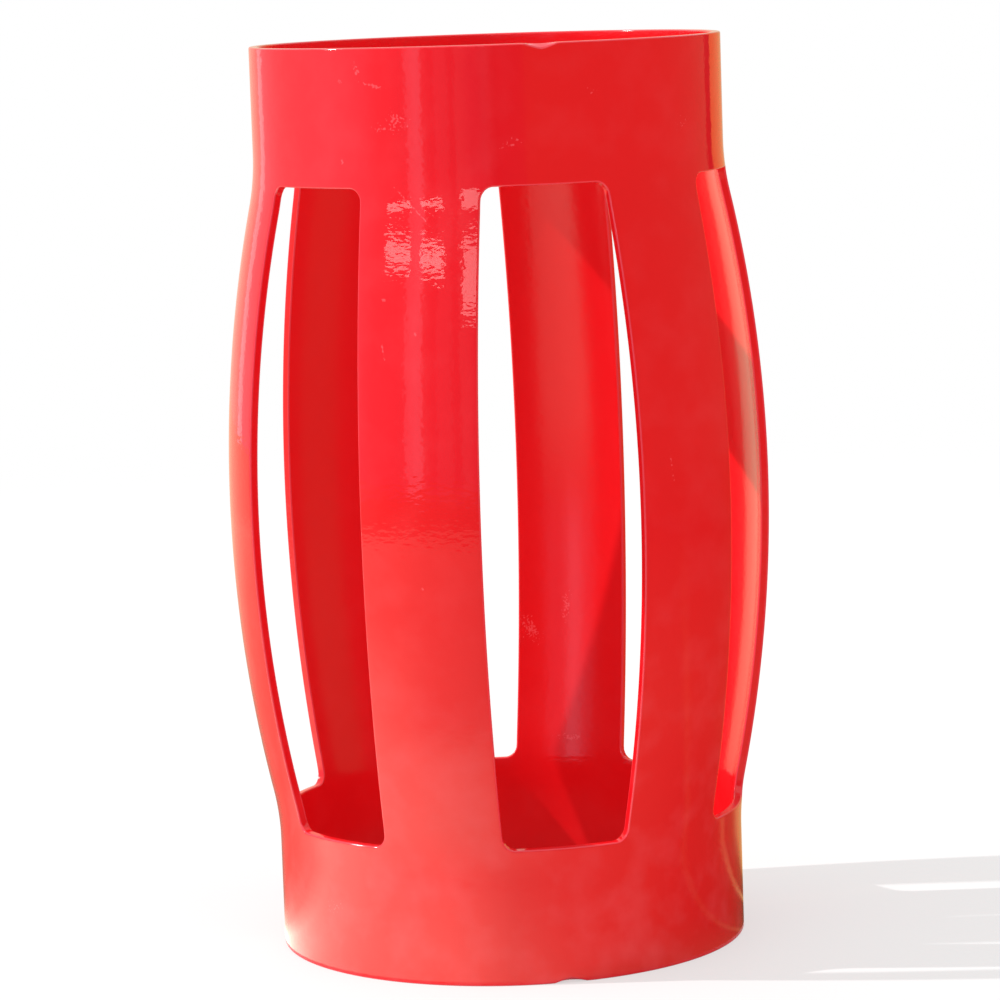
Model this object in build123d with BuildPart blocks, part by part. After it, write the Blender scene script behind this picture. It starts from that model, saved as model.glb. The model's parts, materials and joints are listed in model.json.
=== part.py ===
from build123d import *
import math
import os

# One-piece bow-spring centralizer: a rolled and seam-welded sheet, cut into bows between two
# collars, with the bows pressed outwards. Millimetres, +Z along the casing, origin at the
# centre of the lower rim. The seam faces -Y, down the middle of one window.

# sheet and collars
bore_diameter = 181.0
wall = 3.5
overall_height = 363.5
collar_height = 53.5

# bows
bow_count = 6
bow_rise = 15.0
bow_width = 48.0
bend_radius = 100.0

# corners and edges
window_corner_radius = 5.0
window_edge_break = 0.6
rim_edge_break = 0.7

# dip where the seam weld ends in each rim
seam_dip_width = 14.0
seam_dip_depth = 2.4
seam_dip_corner = 6.0

# the outer face
collar_radius = bore_diameter / 2 + wall
bow_radius = collar_radius + bow_rise
window_height = overall_height - 2 * collar_height
mid_height = overall_height / 2

# each bow is one arc whose chord is the window's height, and it bends into the collar at each end
arc_radius = (window_height**2 / 4 + bow_rise**2) / (2 * bow_rise)
bend_reach = math.sqrt(2 * bow_rise * (arc_radius + bend_radius) - bow_rise**2)
bend_angle = math.degrees(math.asin(bend_reach / (arc_radius + bend_radius)))
bend_start = mid_height - bend_reach

# a window's sides are cut square to the wall, so they spread with the distance from the axis
end_spread = math.pi / bow_count - math.asin(bow_width / 2 / collar_radius)
mid_spread = math.pi / bow_count - math.asin(bow_width / 2 / bow_radius)
cut_inside = 0.8 * bore_diameter / 2
cut_outside = bow_radius + wall

# cutter for the window that faces -Y
with BuildPart() as window_cutter:
    for distance in (cut_inside, cut_outside):
        end_half = distance * math.tan(end_spread)
        mid_half = distance * math.tan(mid_spread)
        window_top = overall_height - collar_height
        with BuildSketch(Plane.XZ.offset(distance)) as window_outline:
            with BuildLine():
                lower_end = Line((-end_half, collar_height), (end_half, collar_height))
                ThreePointArc(lower_end @ 1, (mid_half, mid_height), (end_half, window_top))
                upper_end = Line((end_half, window_top), (-end_half, window_top))
                ThreePointArc(upper_end @ 1, (-mid_half, mid_height), lower_end @ 0)
            make_face()
            fillet(window_outline.vertices(), window_corner_radius)
    loft(ruled=True)

with BuildPart() as centralizer:
    # the wall, turned about the casing's axis and hollowed from both ends
    with BuildSketch(Plane.XZ):
        with BuildLine():
            lower_collar = Line((collar_radius, 0), (collar_radius, bend_start))
            lower_bend = JernArc(lower_collar @ 1, lower_collar % 1, bend_radius, -bend_angle)
            bow = JernArc(lower_bend @ 1, lower_bend % 1, arc_radius, 2 * bend_angle)
            upper_bend = JernArc(bow @ 1, bow % 1, bend_radius, -bend_angle)
            upper_collar = Line(upper_bend @ 1, (collar_radius, overall_height))
            Polyline(upper_collar @ 1, (0, overall_height), (0, 0), lower_collar @ 0)
        make_face()
    revolve(axis=Axis.Z)
    offset(amount=-wall, openings=centralizer.faces().filter_by(Plane.XY))

    # the windows leave the bows between them
    with PolarLocations(0, bow_count):
        add(window_cutter.part, mode=Mode.SUBTRACT)
    chamfer(centralizer.edges(Select.NEW), window_edge_break)

    # both rims have their sharp edges taken off too
    faces_upwards = centralizer.faces().sort_by(Axis.Z)
    chamfer(faces_upwards[0].edges() + faces_upwards[-1].edges(), rim_edge_break)

    # at each end of the seam the weld is ground down, deepest at the wall's outer face
    for rim_height, inwards in ((0, 1), (overall_height, -1)):
        with BuildSketch(Plane.XZ.offset(collar_radius)) as dip:
            with BuildLine():
                Polyline(
                    (-seam_dip_width / 2, rim_height),
                    (0, rim_height + inwards * seam_dip_depth),
                    (seam_dip_width / 2, rim_height),
                    close=True,
                )
            make_face()
            deepest = dip.vertices().sort_by(Axis.Y)[0 if inwards < 0 else -1]
            fillet(deepest, seam_dip_corner)
        grind_slope = (0, wall, -inwards * seam_dip_depth)
        extrude(amount=math.hypot(wall, seam_dip_depth), dir=grind_slope, mode=Mode.SUBTRACT)

centralizer.part.label = "centralizer"
os.makedirs("parts", exist_ok=True)
export_step(centralizer.part, "parts/centralizer.step")
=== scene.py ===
import bpy
import json
import math
from mathutils import Matrix, Vector


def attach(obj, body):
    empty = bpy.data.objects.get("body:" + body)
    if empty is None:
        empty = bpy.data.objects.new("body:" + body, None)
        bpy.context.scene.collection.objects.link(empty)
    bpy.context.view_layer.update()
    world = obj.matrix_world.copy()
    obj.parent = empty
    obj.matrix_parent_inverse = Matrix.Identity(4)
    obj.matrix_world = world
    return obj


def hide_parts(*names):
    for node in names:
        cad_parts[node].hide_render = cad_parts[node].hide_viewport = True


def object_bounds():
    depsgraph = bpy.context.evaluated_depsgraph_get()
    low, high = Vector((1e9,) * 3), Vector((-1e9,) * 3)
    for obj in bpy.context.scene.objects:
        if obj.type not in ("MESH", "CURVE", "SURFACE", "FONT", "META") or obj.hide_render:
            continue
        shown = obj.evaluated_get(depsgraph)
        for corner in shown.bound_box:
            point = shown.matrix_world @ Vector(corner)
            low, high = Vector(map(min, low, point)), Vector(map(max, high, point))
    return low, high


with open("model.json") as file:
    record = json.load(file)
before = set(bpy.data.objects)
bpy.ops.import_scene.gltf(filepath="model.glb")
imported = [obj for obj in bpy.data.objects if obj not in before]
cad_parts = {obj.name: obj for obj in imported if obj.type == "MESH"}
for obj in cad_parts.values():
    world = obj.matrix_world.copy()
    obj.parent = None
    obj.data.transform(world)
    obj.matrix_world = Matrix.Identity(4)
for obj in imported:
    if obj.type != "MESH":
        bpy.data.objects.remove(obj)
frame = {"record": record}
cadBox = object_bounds()
mounts = {mount["name"]: mount for mount in frame["record"]["mounts"]}
print("frame loaded, CAD box", cadBox)


# a number worked out by math nodes, inside a geometry tree or a material's tree
class field:
    def __init__(self, tree, socket):
        self.tree = tree
        self.socket = socket

    def math(self, operation, *others):
        node = self.tree.nodes.new("ShaderNodeMath")
        node.operation = operation
        for place, value in zip(node.inputs, (self,) + others):
            if isinstance(value, field):
                self.tree.links.new(value.socket, place)
            else:
                place.default_value = value
        return field(self.tree, node.outputs[0])

    def __add__(self, other):
        return self.math("ADD", other)

    def __sub__(self, other):
        return self.math("SUBTRACT", other)

    def __mul__(self, other):
        return self.math("MULTIPLY", other)

    def __truediv__(self, other):
        return self.math("DIVIDE", other)

    def __lt__(self, other):
        return self.math("LESS_THAN", other)

    def __gt__(self, other):
        return self.math("GREATER_THAN", other)

    def __mod__(self, other):
        return self.math("MODULO", other)

    def root(self):
        return self.math("MAXIMUM", 0.0).math("SQRT")

    def size(self):
        return self.math("ABSOLUTE")

    def round(self):
        return self.math("ROUND")

    def floor(self):
        return self.math("FLOOR")

    def sin(self):
        return self.math("SINE")

    def cos(self):
        return self.math("COSINE")

    def arcsin(self):
        return self.math("ARCSINE")

    def least(self, other):
        return self.math("MINIMUM", other)

    def most(self, other):
        return self.math("MAXIMUM", other)

    # one of two values, by whether this one is 1 or 0; for geometry trees
    def choose(self, yes, no):
        node = self.tree.nodes.new("GeometryNodeSwitch")
        node.input_type = "FLOAT"
        self.tree.links.new(self.socket, node.inputs["Switch"])
        for place, value in (("True", yes), ("False", no)):
            if isinstance(value, field):
                self.tree.links.new(value.socket, node.inputs[place])
            else:
                node.inputs[place].default_value = value
        return field(self.tree, node.outputs[0])

    # 0 to 1 with soft ends, as this goes from low to high
    def ease(self, low, high):
        part = ((self - low) / (high - low)).least(1.0).most(0.0)
        return part * part * (part * -2.0 + 3.0)


def splitAxes(tree, vector):
    split = tree.nodes.new("ShaderNodeSeparateXYZ")
    tree.links.new(vector, split.inputs[0])
    return [field(tree, socket) for socket in split.outputs]


# a geometry tree with one named input for each value
def newTree(name, values):
    tree = bpy.data.node_groups.new(name, "GeometryNodeTree")
    tree.interface.new_socket("Geometry", in_out="INPUT", socket_type="NodeSocketGeometry")
    tree.interface.new_socket("Geometry", in_out="OUTPUT", socket_type="NodeSocketGeometry")
    kinds = {float: "NodeSocketFloat", int: "NodeSocketInt"}
    for label, value in values.items():
        kind = kinds.get(type(value), "NodeSocketMaterial")
        tree.interface.new_socket(label, in_out="INPUT", socket_type=kind)
    start = tree.nodes.new("NodeGroupInput")
    given = {label: field(tree, start.outputs[label]) for label in values}
    return tree, start, given


def finishTree(tree, geometry, given):
    realize = tree.nodes.new("GeometryNodeRealizeInstances")
    paint = tree.nodes.new("GeometryNodeSetMaterial")
    end = tree.nodes.new("NodeGroupOutput")
    tree.links.new(geometry, realize.inputs[0])
    tree.links.new(realize.outputs[0], paint.inputs["Geometry"])
    tree.links.new(given["Paint"].socket, paint.inputs["Material"])
    tree.links.new(paint.outputs[0], end.inputs[0])


def addTree(piece, tree, values):
    modifier = piece.modifiers.new(tree.name, "NODES")
    modifier.node_group = tree
    for item in tree.interface.items_tree:
        if item.in_out == "INPUT" and item.name in values:
            modifier[item.identifier] = values[item.name]


def pointPlaces(tree):
    position = tree.nodes.new("GeometryNodeInputPosition")
    return splitAxes(tree, position.outputs[0])


def moveTo(tree, geometry, x, y, z):
    join = tree.nodes.new("ShaderNodeCombineXYZ")
    for place, value in zip(join.inputs, (x, y, z)):
        tree.links.new(value.socket, place)
    node = tree.nodes.new("GeometryNodeSetPosition")
    tree.links.new(geometry, node.inputs["Geometry"])
    tree.links.new(join.outputs[0], node.inputs["Position"])
    return node.outputs[0]


boxClearance = 0.000007  # keeps the bows just inside the CAD box

# the sleeve's tree inputs, in metres: the frame's sizes, the CAD part's other sizes, and the grid's cells
sleeve = {
    "Bore Radius": mounts["upper_collar_bore"]["dims"]["r_mm"] / 1000,
    "Wall": 0.0035,
    "Height": cadBox[1][2],
    "Collar Height": 0.0535,
    "Bow Radius": cadBox[1][0] - boxClearance,
    "Bow Width": 0.048,
    "Bend Radius": 0.100,
    "Corner Radius": 0.005,
    "Corner Reach": 3.5,  # how far the grid follows a corner, in corner radii
    "Merge Distance": 0.00001,  # closes the rolled grid where its two ends meet
    "Bows": 6,
    "Window Columns": 36,
    "Bow Columns": 18,
    "Collar Rows": 18,
    "Window Rows": 64,
}

# at each end of the seam the weld is ground down, deepest at the outer face
seam = {
    "Height": sleeve["Height"],
    "Wall": sleeve["Wall"],
    "Inner Radius": 0.09025,  # where the dip runs out
    "Half Width": 0.0068,
    "Depth": 0.0024,
    "Tip Radius": 0.0010954,
    "Fade": 0.011,  # how far down the collar the grid follows
}

# the broken edges in metres and degrees, and how far a face points outwards where its paint changes; the
# lighter edge paint is partly worn paint and partly a painted highlight along the edges
cutEdges = {
    "radius": 0.0007,
    "steps": 4,
    "sharpFrom": 50,
    "edgeWearAndHighlightFrom": 0.15,
    "edgeWearAndHighlightTo": 0.94,
    "insidePaintBelow": -0.6,
}


# a flat grid with six blocks taken out, rolled and pressed into the outer face
def sleeveTree(values):
    tree, start, given = newTree("rolledSleeve", values)
    link = tree.links.new
    sectorColumns = given["Window Columns"] + given["Bow Columns"]
    columns = sectorColumns * given["Bows"]
    rows = given["Collar Rows"] * 2.0 + given["Window Rows"]
    grid = tree.nodes.new("GeometryNodeMeshGrid")
    link(columns.socket, grid.inputs["Size X"])
    link(rows.socket, grid.inputs["Size Y"])
    link((columns + 1.0).socket, grid.inputs["Vertices X"])
    link((rows + 1.0).socket, grid.inputs["Vertices Y"])

    # each window is a block of the grid's cells, taken out
    x, y, z = pointPlaces(tree)
    cellColumn = (x + columns / 2.0) % sectorColumns
    cellRow = y + rows / 2.0
    windowRowEnd = given["Collar Rows"] + given["Window Rows"]
    inWindowRows = (cellRow > given["Collar Rows"]) * (cellRow < windowRowEnd)
    inWindow = (cellColumn < given["Window Columns"]) * inWindowRows
    cut = tree.nodes.new("GeometryNodeDeleteGeometry")
    cut.domain = "FACE"
    link(grid.outputs["Mesh"], cut.inputs["Geometry"])
    link(inWindow.socket, cut.inputs["Selection"])

    # height of each row, closer together towards the windows' ends
    row = cellRow.round()
    middle = given["Height"] / 2.0
    halfWindow = middle - given["Collar Height"]
    windowShare = (row - given["Collar Rows"]) / given["Window Rows"] * 2.0 - 1.0
    windowHeight = middle + halfWindow * (windowShare * (math.pi / 2)).sin()
    collarStep = given["Collar Height"] / given["Collar Rows"]
    lowHeight = row * collarStep
    highHeight = given["Height"] - (rows - row) * collarStep
    aboveCollar = (row > windowRowEnd).choose(highHeight, windowHeight)
    height = (row < given["Collar Rows"]).choose(lowHeight, aboveCollar)

    # radius of the outer face: collar, bend, one long arc, bend, collar
    collarRadius = given["Bore Radius"] + given["Wall"]
    rise = given["Bow Radius"] - collarRadius
    arcRadius = (halfWindow * halfWindow + rise * rise) / (rise * 2.0)
    bend = given["Bend Radius"]
    bendReach = (rise * 2.0 * (arcRadius + bend) - rise * rise).root()
    bendEnd = bendReach * arcRadius / (arcRadius + bend)

    def outerRadius(fromMiddle):
        pastBend = fromMiddle - bendReach
        onArc = given["Bow Radius"] - arcRadius + (arcRadius * arcRadius - fromMiddle * fromMiddle).root()
        onBend = collarRadius + bend - (bend * bend - pastBend * pastBend).root()
        return (fromMiddle < bendEnd).choose(onArc, (fromMiddle < bendReach).choose(onBend, collarRadius))

    # angle of each column: window columns crowd to the window's sides, bow columns are even
    smallest = 0.000001  # stands in for nothing where something is divided by it
    roundingRoom = 0.0001  # a column on the line between two sectors belongs to the next one
    column = (x + columns / 2.0).round()
    sector = (column / sectorColumns + roundingRoom).floor()
    inSector = column - sector * sectorColumns
    radius = outerRadius((height - middle).size())
    pitch = given["Bows"].math("POWER", -1.0) * (2 * math.pi)
    halfGap = pitch / 2.0 - (given["Bow Width"] / 2.0 / radius).arcsin()
    gapShare = inSector / given["Window Columns"] * 2.0 - 1.0
    bowShare = (inSector - given["Window Columns"]) / given["Bow Columns"]
    gapAngle = halfGap * (gapShare * (math.pi / 2)).sin()
    bowAngle = halfGap + bowShare * (pitch - halfGap * 2.0)
    angle = (inSector < given["Window Columns"]).choose(gapAngle, bowAngle)

    # the square corner of each block is drawn in to an arc, and the grid beside it follows
    pastHalf = angle > pitch / 2.0
    nearest = pastHalf.choose(pitch - angle, angle.size())
    side = (angle > 0.0).choose(pastHalf.choose(-1.0, 1.0), -1.0)
    corner = given["Corner Radius"]
    across = nearest * radius - (halfGap * radius - corner)
    up = (height - middle).size() - (halfWindow - corner)
    ring = across.most(up).most(smallest)
    spread = (across * across + up * up).root().most(smallest)
    pull = (ring / spread - 1.0) * (ring.ease(corner, corner * given["Corner Reach"]) * -1.0 + 1.0)
    drawn = (across.least(up) > 0.0).choose(pull + 1.0, 1.0)
    finalAngle = (sector + pastHalf) * pitch + side * (across * drawn + halfGap * radius - corner) / radius
    fromMiddle = up * drawn + halfWindow - corner
    finalHeight = middle + fromMiddle * (height > middle).choose(1.0, -1.0)
    finalRadius = outerRadius(fromMiddle)
    finalX = finalRadius * finalAngle.sin()
    finalY = finalRadius * finalAngle.cos() * -1.0
    rolled = moveTo(tree, cut.outputs[0], finalX, finalY, finalHeight)

    merge = tree.nodes.new("GeometryNodeMergeByDistance")
    smooth = tree.nodes.new("GeometryNodeSetShadeSmooth")
    link(rolled, merge.inputs[0])
    link(given["Merge Distance"].socket, merge.inputs["Distance"])
    link(merge.outputs[0], smooth.inputs[0])
    finishTree(tree, smooth.outputs[0], given)
    return tree


# the two dips at the seam, pressed into both ends of the wall at -Y
def seamTree(values):
    tree, start, given = newTree("groundSeam", values)
    x, y, z = pointPlaces(tree)
    outShare = ((x * x + y * y).root() - given["Inner Radius"]) / given["Wall"]
    fromSeam = (x * x + given["Tip Radius"] * given["Tip Radius"]).root()
    across = (fromSeam / given["Half Width"] * -1.0 + 1.0).most(0.0)
    dip = given["Depth"] * outShare.most(0.0).least(1.0) * across * (y < 0.0)
    fromTop = (given["Height"] - z) / given["Fade"]
    fromFoot = z / given["Fade"]
    lift = (fromFoot * -1.0 + 1.0).most(0.0) - (fromTop * -1.0 + 1.0).most(0.0)
    ground = moveTo(tree, start.outputs["Geometry"], x, y, z + dip * lift)
    finishTree(tree, ground, given)
    return tree


def plainMesh(piece, name):
    graph = bpy.context.evaluated_depsgraph_get()
    mesh = bpy.data.meshes.new_from_object(
        piece.evaluated_get(graph), preserve_all_data_layers=True, depsgraph=graph
    )
    mesh.name = name
    made = bpy.data.objects.new(name, mesh)
    bpy.context.scene.collection.objects.link(made)
    bpy.data.objects.remove(piece)
    return made


# which of the three paints a face has: 0 outside, 1 inside, 2 on the cut edges, a lighter paint that is
# partly worn paint and partly a painted highlight
def paintIndex(face):
    away = Vector((face.center.x, face.center.y, 0)).normalized()
    outwards = face.normal.dot(away)
    if cutEdges["edgeWearAndHighlightFrom"] < abs(outwards) < cutEdges["edgeWearAndHighlightTo"]:
        return 2
    if outwards < cutEdges["insidePaintBelow"]:
        return 1
    return 0


def makeSleeve(paint, insidePaint, edgeWearAndHighlightPaint):
    piece = bpy.data.objects.new("sleeveMaker", bpy.data.meshes.new("sleeveMaker"))
    bpy.context.scene.collection.objects.link(piece)
    sleeveValues = {**sleeve, "Paint": paint}
    addTree(piece, sleeveTree(sleeveValues), sleeveValues)
    wall = piece.modifiers.new("wall", "SOLIDIFY")
    wall.thickness = sleeve["Wall"]
    wall.offset = -1.0
    wall.use_even_offset = True
    wall.use_quality_normals = True
    seamValues = {**seam, "Paint": paint}
    addTree(piece, seamTree(seamValues), seamValues)
    edges = piece.modifiers.new("edges", "BEVEL")
    edges.width = cutEdges["radius"]
    edges.segments = cutEdges["steps"]
    edges.limit_method = "ANGLE"
    edges.angle_limit = math.radians(cutEdges["sharpFrom"])
    edges.use_clamp_overlap = False
    edges.harden_normals = False
    even = piece.modifiers.new("even", "WEIGHTED_NORMAL")
    even.keep_sharp = False
    made = plainMesh(piece, "sleeve")
    made.data.materials.clear()
    for finish in (paint, insidePaint, edgeWearAndHighlightPaint):
        made.data.materials.append(finish)
    for face in made.data.polygons:
        face.material_index = paintIndex(face)
    return made


# red stoving enamel: a clear gloss over the colour, with orange peel and a slow wave in it
enamel = {
    "colour": (0.80, 0.0075, 0.012, 1),
    # paler on the rounded edges: partly worn paint, partly a painted highlight
    "edgeWearAndHighlightColour": (0.82, 0.040, 0.060, 1),
    "underRoughness": 0.5,  # of the colour below the gloss
    "peel": {"size": 0.0027, "depth": 0.000042, "detail": 1, "stretch": (1, 1, 1.6)},
    "wave": {"size": 0.013, "depth": 0.00005, "detail": 2, "stretch": (1, 1, 1)},
}

# where handling has scuffed the paint: turn and height of the middle, half width, half height, lean in
# degrees, and how bare the middle is
scuffsOutside = [
    (-44.7, 0.3550, 0.0016, 0.0050, 20, 0.60),
    (-40.3, 0.3492, 0.0100, 0.0022, -15, 0.52),
    (-34.5, 0.3350, 0.0090, 0.0080, 0, 0.50),
    (-38.6, 0.3330, 0.0060, 0.0030, 0, 0.48),
    (-49.4, 0.3511, 0.0016, 0.0015, 0, 0.62),
    (-49.7, 0.3203, 0.0016, 0.0016, 0, 0.62),
    (-81.6, 0.3590, 0.0024, 0.0022, 0, 0.62),
    (-31.2, 0.3033, 0.0180, 0.0006, -45, 0.62),
    (-25.0, 0.2890, 0.0080, 0.0040, -30, 0.50),
    (-37.3, 0.2684, 0.0018, 0.0016, 0, 0.60),
    (-29.9, 0.2557, 0.0014, 0.0014, 0, 0.62),
    (-37.1, 0.2489, 0.0008, 0.0070, 10, 0.56),
    (-29.7, 0.1586, 0.0014, 0.0014, 0, 0.62),
    (-8.0, 0.3260, 0.0100, 0.0040, 20, 0.43),
    (12.0, 0.3440, 0.0060, 0.0030, -20, 0.42),
    (40.0, 0.3300, 0.0100, 0.0060, 15, 0.41),
    (24.5, 0.2000, 0.0010, 0.0120, 5, 0.48),
    (-62.0, 0.0260, 0.0120, 0.0060, 10, 0.44),
    (95.0, 0.1500, 0.0060, 0.0140, 15, 0.50),
    (-150.0, 0.2900, 0.0160, 0.0012, 40, 0.58),
    (-120.0, 0.0300, 0.0120, 0.0050, 10, 0.50),
    (160.0, 0.3400, 0.0120, 0.0050, -10, 0.50),
]
# on the inner faces, in the same columns: the first three are painted glints, painted highlights as bright
# streaks on the back bow; the last is a scuff mark
insideGlintsAndScuffs = [
    (160.5, 0.1080, 0.0060, 0.0120, -25, 0.54),
    (151.5, 0.1180, 0.0030, 0.0110, 5, 0.56),
    (150.1, 0.0622, 0.0110, 0.0030, 0, 0.55),
    (-120.0, 0.2400, 0.0060, 0.0120, 10, 0.50),
]

# how the scuff marks, the painted glints on the inner faces and the film of dust look, all of one paler
# colour
wearAndGlints = {
    "colour": (1.0, 0.16, 0.18, 1),
    "unrollRadius": 0.094,  # the collar's, for measuring a scuff's width along the wall
    "scuffAndGlintStrength": 0.38,
    "scuffAndGlintEdge": 1.25,  # where each scuff mark and painted glint has faded out, in half widths
    "scuffAndGlintSoften": 0.10,
    "speckSize": 0.0010,
    "speckDetail": 1,
    "dustSize": 0.016,
    "dustDetail": 3,
    "dustFrom": 0.45,
    "dustHeight": 0.24,  # dust thins out up to here
    "dustLeast": 0.25,
}
paints = {
    "redPaint": {
        "colour": enamel["colour"],
        "gloss": 0.04,
        "scuffsAndGlints": scuffsOutside,
        "dust": 0.55,
    },
    "redPaintInside": {
        "colour": enamel["colour"],
        "gloss": 0.14,
        "scuffsAndGlints": insideGlintsAndScuffs,
        "dust": 0.12,
    },
    # the edge paint: a painted highlight along the cut edges, partly worn paint as well
    "redPaintEdgeWearAndHighlight": {
        "colour": enamel["edgeWearAndHighlightColour"],
        "gloss": 0.10,
        "scuffsAndGlints": scuffsOutside,
        "dust": 0.3,
    },
}


def noiseField(tree, vector, size, detail):
    noise = tree.nodes.new("ShaderNodeTexNoise")
    noise.inputs["Scale"].default_value = 1 / size
    noise.inputs["Detail"].default_value = detail
    tree.links.new(vector, noise.inputs["Vector"])
    return field(tree, noise.outputs["Fac"])


# how bare or dusty the paint is at a place, or how strong a painted glint: a grain that only the scuff
# marks and the painted glints bring up, or the dust
def wearAndGlintShare(tree, place, scuffsAndGlints, dust):
    x, y, z = splitAxes(tree, place)
    unrolled = tree.nodes.new("ShaderNodeCombineXYZ")
    along = x.math("ARCTAN2", y * -1.0) * wearAndGlints["unrollRadius"]
    tree.links.new(along.socket, unrolled.inputs["X"])
    tree.links.new(z.socket, unrolled.inputs["Y"])
    worst = None
    for turn, height, wide, tall, lean, bare in scuffsAndGlints:
        patch = tree.nodes.new("ShaderNodeMapping")
        patch.vector_type = "TEXTURE"
        patch.inputs["Location"].default_value = (math.radians(turn) * wearAndGlints["unrollRadius"], height, 0)
        patch.inputs["Rotation"].default_value = (0, 0, math.radians(lean))
        patch.inputs["Scale"].default_value = (wide, tall, 1)
        tree.links.new(unrolled.outputs[0], patch.inputs["Vector"])
        far = tree.nodes.new("ShaderNodeVectorMath")
        far.operation = "LENGTH"
        tree.links.new(patch.outputs[0], far.inputs[0])
        near = field(tree, far.outputs["Value"]) * -1.0 + wearAndGlints["scuffAndGlintEdge"]
        near = (near * bare).least(bare)
        worst = near if worst is None else worst.most(near)
    grain = noiseField(tree, place, wearAndGlints["speckSize"], wearAndGlints["speckDetail"])
    over = (worst + grain - 1.0) / wearAndGlints["scuffAndGlintSoften"]
    scuffedAndGlinting = over.most(0.0).least(1.0) * wearAndGlints["scuffAndGlintStrength"]
    film = noiseField(tree, place, wearAndGlints["dustSize"], wearAndGlints["dustDetail"])
    low = (z / wearAndGlints["dustHeight"] * -1.0 + 1.0).most(wearAndGlints["dustLeast"])
    dusted = (film - wearAndGlints["dustFrom"]).most(0.0) * low * dust
    return scuffedAndGlinting.most(dusted)


# a bump of one size and depth, on top of the bump below it
def ripple(tree, place, size, depth, detail, stretch, under=None):
    scale = tree.nodes.new("ShaderNodeVectorMath")
    scale.operation = "MULTIPLY"
    scale.inputs[1].default_value = stretch
    tree.links.new(place, scale.inputs[0])
    noise = noiseField(tree, scale.outputs[0], size, detail)
    bump = tree.nodes.new("ShaderNodeBump")
    bump.inputs["Strength"].default_value = 1
    bump.inputs["Distance"].default_value = depth
    tree.links.new(noise.socket, bump.inputs["Height"])
    if under:
        tree.links.new(under, bump.inputs["Normal"])
    return bump.outputs["Normal"]


def makePaint(name, colour, gloss, scuffsAndGlints, dust):
    paint = bpy.data.materials.new(name)
    paint.use_nodes = True
    tree = paint.node_tree
    shader = tree.nodes["Principled BSDF"]
    shader.inputs["Base Color"].default_value = colour
    shader.inputs["Roughness"].default_value = enamel["underRoughness"]
    shader.inputs["Specular IOR Level"].default_value = 0
    shader.inputs["Coat Weight"].default_value = 1
    shader.inputs["Coat Roughness"].default_value = gloss
    place = tree.nodes.new("ShaderNodeTexCoord").outputs["Object"]
    wave = ripple(tree, place, **enamel["wave"])
    peel = ripple(tree, place, **enamel["peel"], under=wave)
    tree.links.new(peel, shader.inputs["Coat Normal"])
    mix = tree.nodes.new("ShaderNodeMix")
    mix.data_type = "RGBA"
    mix.inputs[6].default_value = colour  # the mix node's colours are its sockets 6 and 7, and 2 comes out
    mix.inputs[7].default_value = wearAndGlints["colour"]
    tree.links.new(wearAndGlintShare(tree, place, scuffsAndGlints, dust).socket, mix.inputs["Factor"])
    tree.links.new(mix.outputs[2], shader.inputs["Base Color"])
    return paint


redPaint, redPaintInside, redPaintEdgeWearAndHighlight = [makePaint(name, **finish) for name, finish in paints.items()]
print("paints made,", len(paints))
body = makeSleeve(redPaint, redPaintInside, redPaintEdgeWearAndHighlight)
print("sleeve made,", len(body.data.polygons), "faces")
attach(body, "root")
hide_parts("centralizer")

# camera: turn from -Y towards +X, distance and height in metres, tilt down and roll in degrees, lens in mm
view = {
    "turn": -13.18,
    "distance": 1.673,
    "height": 0.4031,
    "down": 7.671,
    "roll": -1.960,
    "lens": 150.16,
    "sensor": 36,
}


def makeCamera():
    camera = bpy.data.objects.new("camera", bpy.data.cameras.new("camera"))
    bpy.context.scene.collection.objects.link(camera)
    camera.data.lens = view["lens"]
    camera.data.sensor_width = view["sensor"]
    turn = math.radians(view["turn"])
    place = Vector((view["distance"] * math.sin(turn), -view["distance"] * math.cos(turn), view["height"]))
    aim = (
        Matrix.Rotation(turn, 4, "Z")
        @ Matrix.Rotation(math.radians(90 - view["down"]), 4, "X")
        @ Matrix.Rotation(math.radians(view["roll"]), 4, "Z")
    )
    camera.matrix_world = Matrix.Translation(place) @ aim
    bpy.context.scene.camera = camera


makeCamera()
print("camera placed")

studio = {
    "fill": 0.84,
    "floorSize": 60,
    "floorColour": 0.8,
    "floorRoughness": 0.9,
    "floorWhite": 0.55,  # how much of the floor that the camera sees is plain white
    "fadeFrom": 0.5,  # out to here the floor is a floor, and past the next distance it is background
    "fadeTo": 1.6,
}
whiteRays = ("Is Camera Ray", "Is Glossy Ray", "Is Transmission Ray")  # these see the white background


# 1 for rays of the kinds named, 0 for the rest
def raysOf(tree, kinds):
    path = tree.nodes.new("ShaderNodeLightPath")
    seen = field(tree, path.outputs[kinds[0]])
    for kind in kinds[1:]:
        seen = seen.most(field(tree, path.outputs[kind]))
    return seen


def makeWorld():
    world = bpy.data.worlds.new("studio")
    bpy.context.scene.world = world
    world.use_nodes = True
    nodes, link = world.node_tree.nodes, world.node_tree.links.new
    background = nodes["Background"]
    background.inputs["Color"].default_value = (1, 1, 1, 1)
    background.inputs["Strength"].default_value = studio["fill"]
    white = nodes.new("ShaderNodeBackground")
    white.inputs["Color"].default_value = (1, 1, 1, 1)
    mix = nodes.new("ShaderNodeMixShader")
    link(raysOf(world.node_tree, whiteRays).socket, mix.inputs[0])
    link(background.outputs[0], mix.inputs[1])
    link(white.outputs[0], mix.inputs[2])
    link(mix.outputs[0], nodes["World Output"].inputs["Surface"])


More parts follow.
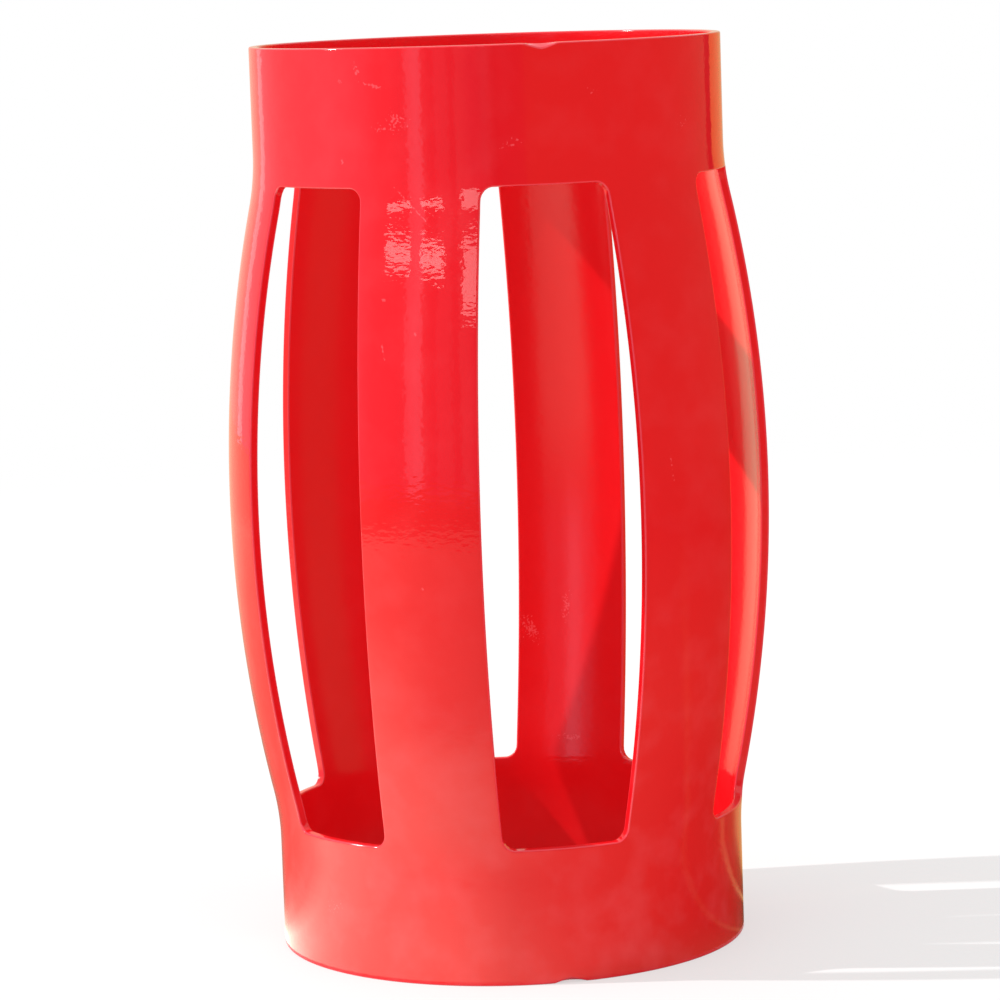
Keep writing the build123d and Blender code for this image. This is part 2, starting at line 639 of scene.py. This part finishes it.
def makeFloor():
    bpy.ops.mesh.primitive_plane_add(size=studio["floorSize"], location=(0, 0, 0))
    floor = bpy.context.object
    floor.name = "floor"
    pale = bpy.data.materials.new("paleFloor")
    pale.use_nodes = True
    tree = pale.node_tree
    nodes, link = tree.nodes, tree.links.new
    shader = nodes["Principled BSDF"]
    tone = studio["floorColour"]
    shader.inputs["Base Color"].default_value = (tone, tone, tone, 1)
    shader.inputs["Roughness"].default_value = studio["floorRoughness"]
    white = nodes.new("ShaderNodeEmission")
    away = nodes.new("ShaderNodeVectorMath")
    away.operation = "LENGTH"
    place = nodes.new("ShaderNodeTexCoord")
    link(place.outputs["Object"], away.inputs[0])
    fade = nodes.new("ShaderNodeMapRange")
    fade.interpolation_type = "SMOOTHSTEP"
    fade.inputs["From Min"].default_value = studio["fadeFrom"]
    fade.inputs["From Max"].default_value = studio["fadeTo"]
    link(away.outputs["Value"], fade.inputs["Value"])
    near = raysOf(tree, ("Is Camera Ray",)) * studio["floorWhite"]
    far = raysOf(tree, whiteRays) * field(tree, fade.outputs[0])
    mix = nodes.new("ShaderNodeMixShader")
    link(near.most(far).socket, mix.inputs[0])
    link(shader.outputs[0], mix.inputs[1])
    link(white.outputs[0], mix.inputs[2])
    link(mix.outputs[0], nodes["Material Output"].inputs["Surface"])
    floor.data.materials.append(pale)


makeWorld()
makeFloor()
print("studio made")

# painted reflections of outdoor surroundings: glowing cards that no ray but the gloss meets, coloured from
# point to point
# standing card: turn and colour, from the left side round past the front to the right
streetReflection = [
    (-205, 0.75, 0.62, 0.45),
    (-165, 0.95, 0.78, 0.62),
    (-158, 0.85, 0.72, 0.62),
    (-157, 1.40, 1.25, 1.30),
    (-152, 1.30, 1.15, 1.20),
    (-151, 0.62, 0.60, 0.66),
    (-125, 0.62, 0.62, 0.70),
    (-92, 0.80, 0.84, 1.05),
    (-75, 0.60, 0.66, 0.88),
    (-66, 0.36, 0.42, 0.56),
    (-55.5, 0.29, 0.34, 0.48),
    (-52, 0.32, 0.36, 0.50),
    (-51.5, 0.75, 0.75, 1.00),
    (-47, 1.05, 1.05, 1.40),
    (-44.5, 0.95, 0.95, 1.25),
    (-44, 0.46, 0.46, 0.60),
    (-41.5, 0.27, 0.28, 0.40),
    (-38.5, 0.20, 0.22, 0.33),
    (-37.5, 0.36, 0.36, 0.50),
    (-32, 0.35, 0.35, 0.47),
    (-30.5, 0.19, 0.20, 0.30),
    (-28.5, 0.20, 0.20, 0.30),
    (-27.5, 0.38, 0.38, 0.48),
    (-23.5, 0.31, 0.31, 0.42),
    (-20.5, 0.22, 0.22, 0.35),
    (-17.5, 0.19, 0.19, 0.30),
    (-14.5, 0.25, 0.25, 0.36),
    (-12.5, 0.22, 0.22, 0.30),
    (-11.5, 0.13, 0.14, 0.20),
    (-8.5, 0.05, 0.06, 0.09),
    (-6, 0.10, 0.10, 0.14),
    (2, 0.13, 0.12, 0.14),
    (4.5, 0.13, 0.13, 0.13),
    (5, 0.23, 0.20, 0.12),
    (60, 0.23, 0.20, 0.12),
    (100, 0.24, 0.22, 0.14),
    (118, 0.25, 0.23, 0.14),
    (119, 0.05, 0.04, 0.04),
    (125, 0.05, 0.04, 0.04),
    (126, 0.95, 0.40, 0.12),
    (150, 0.85, 0.50, 0.22),
    (155, 0.75, 0.60, 0.42),
]
# lying card, a painted reflection of the ground, sunlit and bright at the left and in a painted shadow of
# the part at the right: turn, brightness at each of the distances, then green and blue against red
ground = [
    (-205, 0.35, 0.40, 0.55, 0.95, 0.90, 0.80, 0.54),
    (-165, 0.30, 0.38, 0.55, 0.95, 0.90, 0.80, 0.56),
    (-150, 0.32, 0.40, 0.55, 0.95, 0.80, 0.81, 0.58),
    (-135, 0.38, 0.55, 0.72, 0.95, 0.65, 0.84, 0.62),
    (-125, 0.62, 0.95, 1.00, 1.05, 0.65, 0.88, 0.68),
    (-112, 1.30, 1.75, 1.55, 1.30, 0.70, 0.92, 0.74),
    (-99, 3.10, 3.10, 2.10, 1.50, 0.80, 0.95, 0.78),
    (-81, 3.30, 3.10, 1.80, 1.30, 0.70, 0.96, 0.80),
    (-61, 2.80, 1.90, 1.10, 1.00, 0.35, 0.97, 0.80),
    (-43, 2.55, 1.02, 0.80, 0.75, 0.28, 0.98, 0.80),
    (-27, 2.05, 0.82, 0.66, 0.62, 0.22, 0.98, 0.80),
    (-10, 1.25, 0.48, 0.50, 0.48, 0.18, 0.98, 0.78),
    (7, 0.75, 0.45, 0.44, 0.40, 0.18, 0.97, 0.74),
    (23, 0.50, 0.45, 0.36, 0.28, 0.18, 0.95, 0.68),
    (40, 0.30, 0.42, 0.30, 0.18, 0.18, 0.95, 0.60),
    (61, 0.12, 0.30, 0.24, 0.13, 0.18, 0.92, 0.54),
    (64, 0.30, 0.50, 0.36, 0.13, 0.18, 0.80, 0.38),
    (67, 0.12, 0.28, 0.22, 0.13, 0.18, 0.88, 0.48),
    (81, 0.10, 0.22, 0.20, 0.13, 0.18, 0.82, 0.45),
    (91, 0.12, 0.26, 0.20, 0.13, 0.18, 0.78, 0.40),
    (95, 0.60, 0.65, 0.30, 0.15, 0.20, 0.70, 0.30),
    (99, 0.14, 0.26, 0.20, 0.15, 0.20, 0.72, 0.34),
    (108, 0.20, 0.32, 0.24, 0.20, 0.25, 0.68, 0.30),
    (118, 0.75, 0.75, 0.50, 0.40, 0.50, 0.62, 0.22),
    (155, 0.80, 0.80, 0.80, 0.80, 0.85, 0.66, 0.36),
]
cards = {
    "away": 2.4,
    "height": 1.2,
    "lift": 0.0015,
    "turnStep": 5,  # the most degrees between two columns of points
    "ground": (0.0942, 0.14, 0.26, 0.32, 0.60, 1.25, 1.30, 2.40),
    "inside": (0.001, 0.0895),
    # the dark card inside the bore: painted shade of the floor there
    "insideShadeTone": 0.05,
    "insideStep": 20,
}


def makeGlow():
    glow = bpy.data.materials.new("glow")
    glow.use_nodes = True
    nodes, link = glow.node_tree.nodes, glow.node_tree.links.new
    nodes.remove(nodes["Principled BSDF"])
    light = nodes.new("ShaderNodeEmission")
    colour = nodes.new("ShaderNodeVertexColor")
    colour.layer_name = "glow"
    link(colour.outputs["Color"], light.inputs["Color"])
    link(light.outputs[0], nodes["Material Output"].inputs["Surface"])
    return glow


# columns of points, each point a place and a colour, joined into a sheet
def makeCard(name, columns, glow):
    points = [place for column in columns for place, colour in column]
    tones = [tone for column in columns for place, colour in column for tone in (*colour, 1)]
    deep = len(columns[0])
    faces = []
    for step in range(len(columns) - 1):
        for row in range(deep - 1):
            corner = step * deep + row
            faces.append((corner, corner + 1, corner + deep + 1, corner + deep))
    mesh = bpy.data.meshes.new(name)
    mesh.from_pydata(points, [], faces)
    mesh.color_attributes.new("glow", "FLOAT_COLOR", "POINT").data.foreach_set("color", tones)
    mesh.materials.append(glow)
    card = bpy.data.objects.new(name, mesh)
    bpy.context.scene.collection.objects.link(card)
    card.visible_camera = False
    card.visible_diffuse = False
    card.visible_shadow = False


# rows of numbers, filled in between so that no two turns are far apart
def fillTurns(rows):
    filled = []
    for before, after in zip(rows, rows[1:]):
        steps = max(1, math.ceil((after[0] - before[0]) / cards["turnStep"]))
        for step in range(steps):
            filled.append([a + (b - a) * step / steps for a, b in zip(before, after)])
    return filled + [list(rows[-1])]


def onRing(turn, out, up):
    turn = math.radians(turn)
    return (out * math.sin(turn), -out * math.cos(turn), up)


def makeCards():
    glow = makeGlow()
    standing = []
    for turn, *colour in fillTurns(streetReflection):
        standing.append([(onRing(turn, cards["away"], up), colour) for up in (0, cards["height"])])
    makeCard("streetReflection", standing, glow)
    lying = []
    for turn, near, first, second, third, far, green, blue in fillTurns(ground):
        column = []
        tones = (near, near, (near + first) / 2, first, second, third, far, far)
        for out, tone in zip(cards["ground"], tones):
            column.append((onRing(turn, out, cards["lift"]), (tone, tone * green, tone * blue)))
        lying.append(column)
    makeCard("ground", lying, glow)
    # a dark card on the floor inside the bore, painted shade: what the gloss shows of the shaded floor
    # there
    tone = cards["insideShadeTone"]
    within = []
    for turn in range(-180, 181, cards["insideStep"]):
        within.append([(onRing(turn, out, cards["lift"]), (tone, tone, tone)) for out in cards["inside"]])
    makeCard("paintedShadeInside", within, glow)


makeCards()
print("cards made")

# the key sun and the bright windows: degrees round from -Y towards +X and up, metres out from the centre
lampCentre = Vector((0, 0, 0.18))
key = {"turn": -103.7, "up": 34.2, "spread": 0.9, "power": 3.0}
windows = {
    "windowLeft": {"turn": -56.5, "up": 17.8, "away": 2.2, "width": 0.44, "height": 0.085, "power": 0.46},
    "windowMiddle": {"turn": -40, "up": 18.0, "away": 2.2, "width": 0.40, "height": 0.095, "power": 0.48},
    "windowRight": {"turn": -20, "up": 16.8, "away": 2.2, "width": 0.46, "height": 0.28, "power": 1.2},
}


def towards(turn, up):
    turn = math.radians(turn)
    up = math.radians(up)
    return Vector((math.sin(turn) * math.cos(up), -math.cos(turn) * math.cos(up), math.sin(up)))


def makeSun(turn, up, spread, power):
    sun = bpy.data.lights.new("key", "SUN")
    sun.angle = math.radians(spread)
    sun.energy = power
    place = bpy.data.objects.new("key", sun)
    bpy.context.scene.collection.objects.link(place)
    place.rotation_euler = towards(turn, up).to_track_quat("Z", "Y").to_euler()


# a bright window that only the gloss shows
def makeWindow(name, turn, up, away, width, height, power):
    lamp = bpy.data.lights.new(name, "AREA")
    lamp.shape = "RECTANGLE"
    lamp.size = width
    lamp.size_y = height
    lamp.energy = power
    place = bpy.data.objects.new(name, lamp)
    bpy.context.scene.collection.objects.link(place)
    place.visible_camera = False
    place.visible_diffuse = False
    place.location = lampCentre + towards(turn, up) * away
    place.rotation_euler = towards(turn, up).to_track_quat("Z", "Y").to_euler()


makeSun(**key)
for name, window in windows.items():
    makeWindow(name, **window)
bpy.context.scene.view_settings.view_transform = "Standard"
print("lamps made,", len(windows) + 1)
